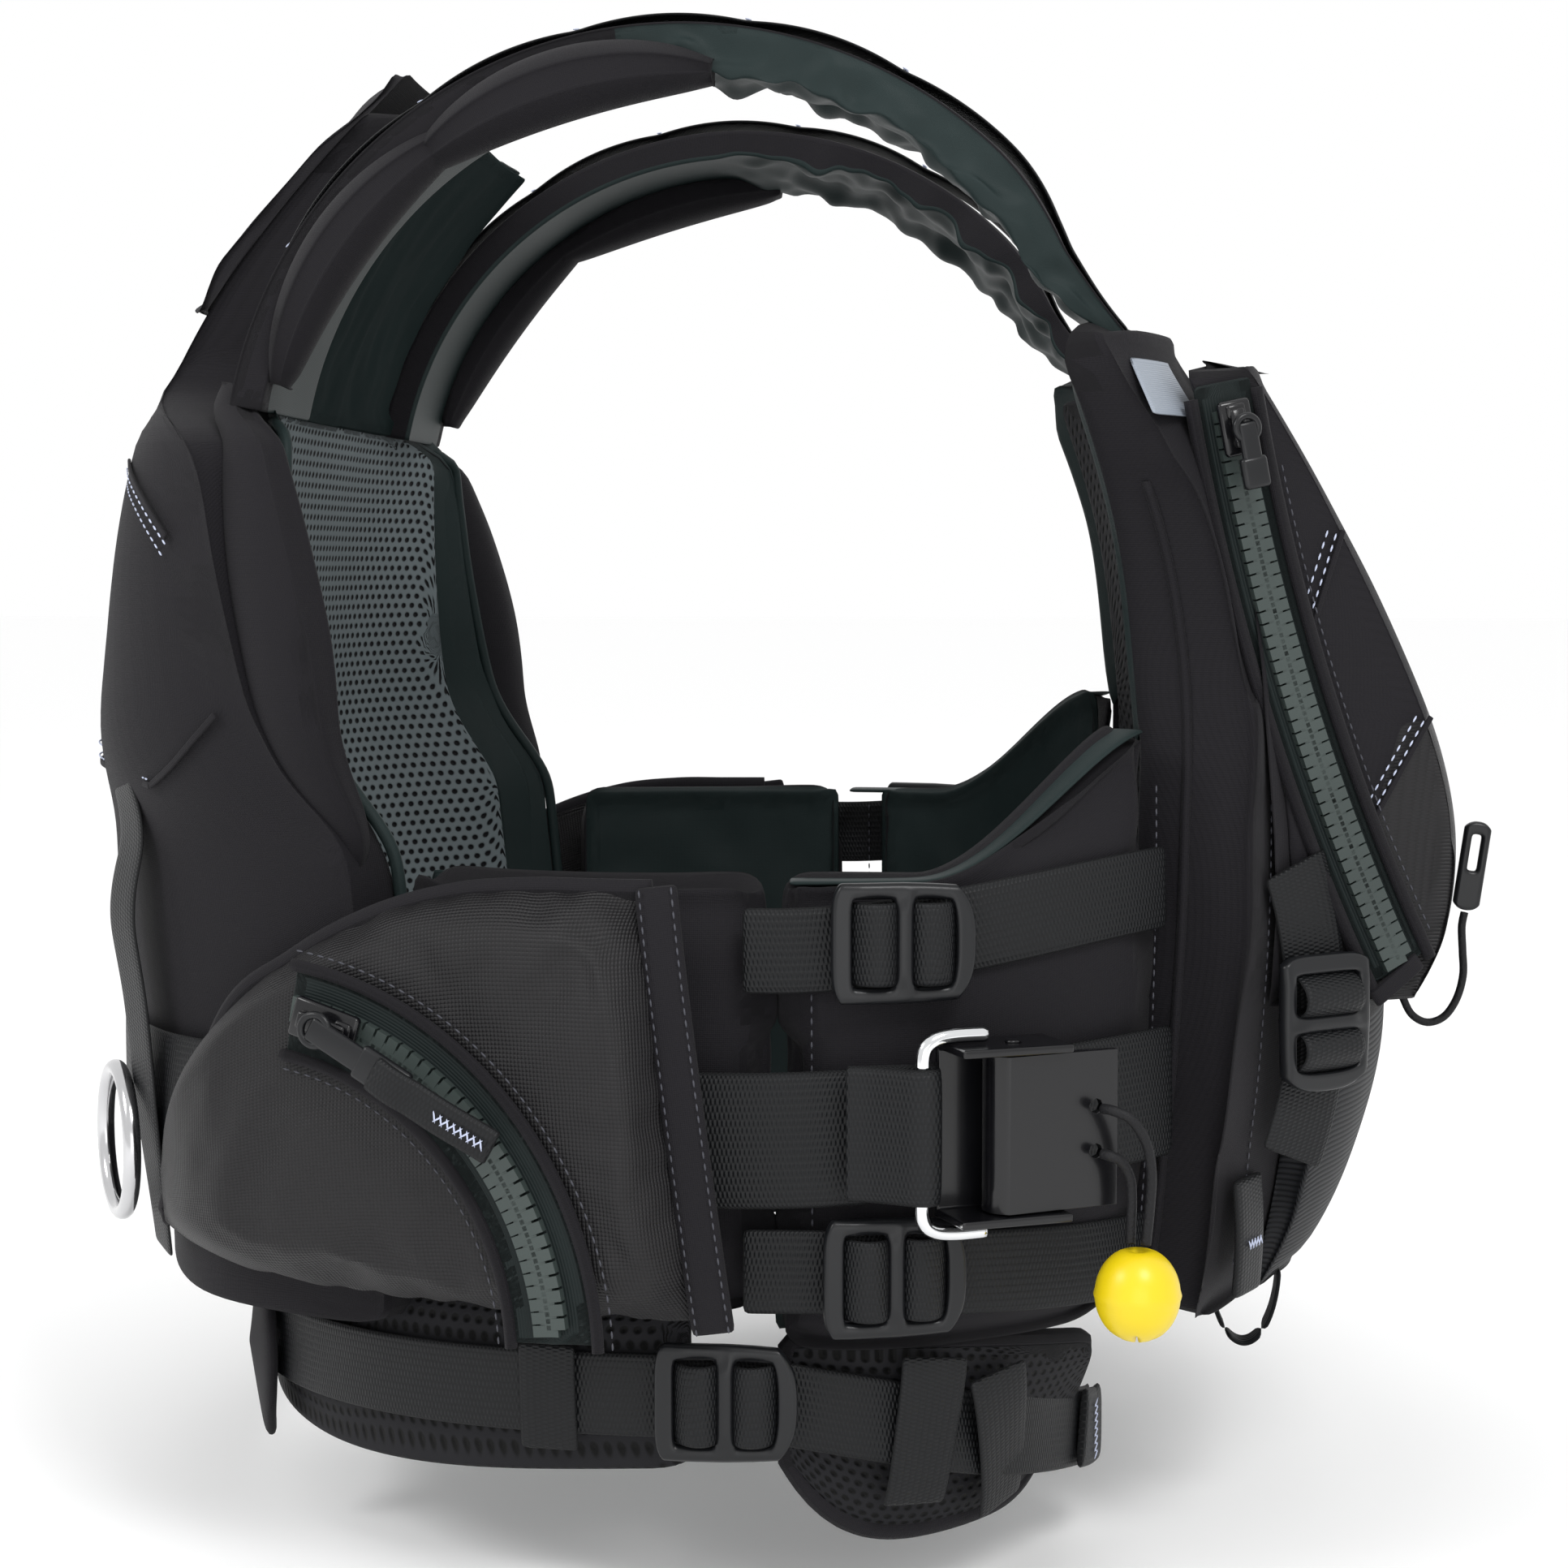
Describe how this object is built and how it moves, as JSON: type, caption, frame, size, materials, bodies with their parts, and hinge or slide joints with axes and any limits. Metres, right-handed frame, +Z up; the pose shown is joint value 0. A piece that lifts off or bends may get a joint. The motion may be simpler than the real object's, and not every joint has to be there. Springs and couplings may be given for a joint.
{
  "type": "rescue buoyancy vest",
  "caption": "Foam-filled rescue buoyancy vest with shoulder pads, adjustment webbing, quick-release harness belt, zipped pockets, back ring and waist belt.",
  "frame": {"origin": "midway between the wearer's shoulders, level with the underside of the shoulder pads, above the middle of the torso", "axes": "+X towards the wearer's front, +Y towards the wearer's left, +Z up"},
  "size_m": [0.4611, 0.431, 0.4554],
  "materials": {
    "foam": "closed-cell foam, matte",
    "shell": "black stretch softshell with a fine matte weave",
    "lining": "dark green-grey nylon lining with a slight sheen",
    "mesh": "perforated and spacer mesh",
    "cordura": "coarse basket-weave nylon",
    "ribbed_stretch": "ribbed stretch knit",
    "webbing": "woven nylon webbing, slight sheen",
    "plastic": "satin moulded plastic",
    "gloss_plastic": "glossy black",
    "chrome": "polished",
    "stainless": "polished stainless steel",
    "zip_tape": "woven zip tape",
    "zip_teeth": "moulded grey-green teeth",
    "toggle": "satin yellow",
    "cord": "braided cord",
    "stitching": "pale thread",
    "reflective": "light grey reflective print"
  },
  "bodies": {
    "vest": {"back_foam": "foam", "back_shell": "shell", "back_mesh_liner": "mesh", "front_foam": "foam", "front_shell": "shell", "front_mesh_liner": "mesh", "rear_wing_right": "shell", "front_wing_right": "shell", "rear_wing_left": "shell", "front_wing_left": "shell", "armhole_roll_right": "shell", "shoulder_pad_right": "shell", "shoulder_webbing_right": "webbing", "armhole_roll_left": "shell", "shoulder_pad_left": "shell", "shoulder_webbing_left": "webbing", "neck_pouch": "shell", "chest_pocket": "shell", "lower_front_pouch": "ribbed_stretch", "harness_belt": "webbing", "harness_front_strap": "webbing", "side_strap_upper_right": "webbing", "side_strap_lower_right": "webbing", "side_strap_upper_left": "webbing", "side_strap_lower_left": "webbing", "buckle_frame": "gloss_plastic", "buckle_pin": "chrome", "buckle_bar": "chrome", "shoulder_adjust_strap_right": "webbing", "shoulder_adjust_strap_left": "webbing", "side_pocket_right": "cordura", "side_pocket_left": "cordura", "side_zip_tape": "zip_tape", "chest_zip_tape": "zip_tape", "ring_keeper": "webbing", "lumbar_pad": "mesh", "waist_pad_right": "mesh", "waist_belt_right": "webbing", "waist_pad_left": "mesh", "waist_belt_left": "webbing", "lash_tab": "webbing", "front_cord": "cord", "front_pull_tab": "plastic"},
    "lock_upper_right": {"ladder_lock_upper_right": "plastic"},
    "lock_upper_left": {"ladder_lock_upper_left": "plastic"},
    "lock_lower_right": {"ladder_lock_lower_right": "plastic"},
    "lock_lower_left": {"ladder_lock_lower_left": "plastic"},
    "lock_shoulder_right": {"ladder_lock_shoulder_right": "plastic"},
    "lock_shoulder_left": {"ladder_lock_shoulder_left": "plastic"},
    "lock_waist_right": {"ladder_lock_waist_right": "plastic"},
    "lock_waist_left": {"ladder_lock_waist_left": "plastic"},
    "lever": {"buckle_lever": "gloss_plastic", "pull_cord_upper": "cord", "pull_cord_lower": "cord", "toggle_ball": "toggle"},
    "ring": {"back_ring": "stainless"},
    "side_slider": {"side_zip_slider": "gloss_plastic"},
    "side_pull": {"side_zip_pull": "plastic"},
    "chest_slider": {"chest_zip_slider": "gloss_plastic"},
    "chest_pull": {"chest_zip_pull": "plastic"}
  },
  "joints": [
    {"name": "lock_upper_right_tilt", "type": "hinge", "parent": "vest", "child": "lock_upper_right", "pos_m": [0.0317, -0.1886, -0.25519], "axis": [0, 0, -1], "range_deg": [0, 35]},
    {"name": "lock_upper_left_tilt", "type": "hinge", "parent": "vest", "child": "lock_upper_left", "pos_m": [0.0317, 0.1886, -0.25519], "axis": [0, 0, 1], "range_deg": [0, 35]},
    {"name": "lock_lower_right_tilt", "type": "hinge", "parent": "vest", "child": "lock_lower_right", "pos_m": [0.02964, -0.18931, -0.35185], "axis": [0, 0, -1], "range_deg": [0, 5]},
    {"name": "lock_lower_left_tilt", "type": "hinge", "parent": "vest", "child": "lock_lower_left", "pos_m": [0.02964, 0.18931, -0.35185], "axis": [0, 0, 1], "range_deg": [0, 35]},
    {"name": "lock_shoulder_right_tilt", "type": "hinge", "parent": "vest", "child": "lock_shoulder_right", "pos_m": [0.17511, -0.12443, -0.2675], "axis": [-0.7982, -0.6023, 0], "range_deg": [0, 35]},
    {"name": "lock_shoulder_left_tilt", "type": "hinge", "parent": "vest", "child": "lock_shoulder_left", "pos_m": [0.17511, 0.12443, -0.2675], "axis": [0.7982, -0.6023, 0], "range_deg": [0, 35]},
    {"name": "lock_waist_right_tilt", "type": "hinge", "parent": "vest", "child": "lock_waist_right", "pos_m": [-0.01994, -0.18355, -0.39002], "axis": [0, 0, -1], "range_deg": [0, 35]},
    {"name": "lock_waist_left_tilt", "type": "hinge", "parent": "vest", "child": "lock_waist_left", "pos_m": [-0.01994, 0.18355, -0.39002], "axis": [0, 0, 1], "range_deg": [0, 35]},
    {"name": "lever_swing", "type": "hinge", "parent": "vest", "child": "lever", "pos_m": [0.08066, -0.18684, -0.30834], "axis": [0, 0, -1], "range_deg": [0, 100]},
    {"name": "ring_swing", "type": "hinge", "parent": "vest", "child": "ring", "pos_m": [-0.19126, -0.12638, -0.331], "axis": [0, 0, 1], "range_deg": [0, 80]},
    {"name": "side_zip_run", "type": "hinge", "parent": "vest", "child": "side_slider", "pos_m": [-0.13986, -0.18079, -0.372], "axis": [-0.2527, -0.9675, 0], "range_deg": [-64, 0]},
    {"name": "side_pull_flip", "type": "hinge", "parent": "side_slider", "child": "side_pull", "pos_m": [-0.11571, -0.20053, -0.27924], "axis": [-0.4691, 0.1225, -0.8746], "range_deg": [0, 120]},
    {"name": "chest_zip_run", "type": "hinge", "parent": "vest", "child": "chest_slider", "pos_m": [0.74592, 0.10551, 0.032], "axis": [0.359, -0.9333, 0], "range_deg": [0, 14.6]},
    {"name": "chest_pull_flip", "type": "hinge", "parent": "chest_slider", "child": "chest_pull", "pos_m": [0.14849, -0.1382, -0.10747], "axis": [-0.9123, -0.3509, -0.2113], "range_deg": [0, 120]}
  ]
}
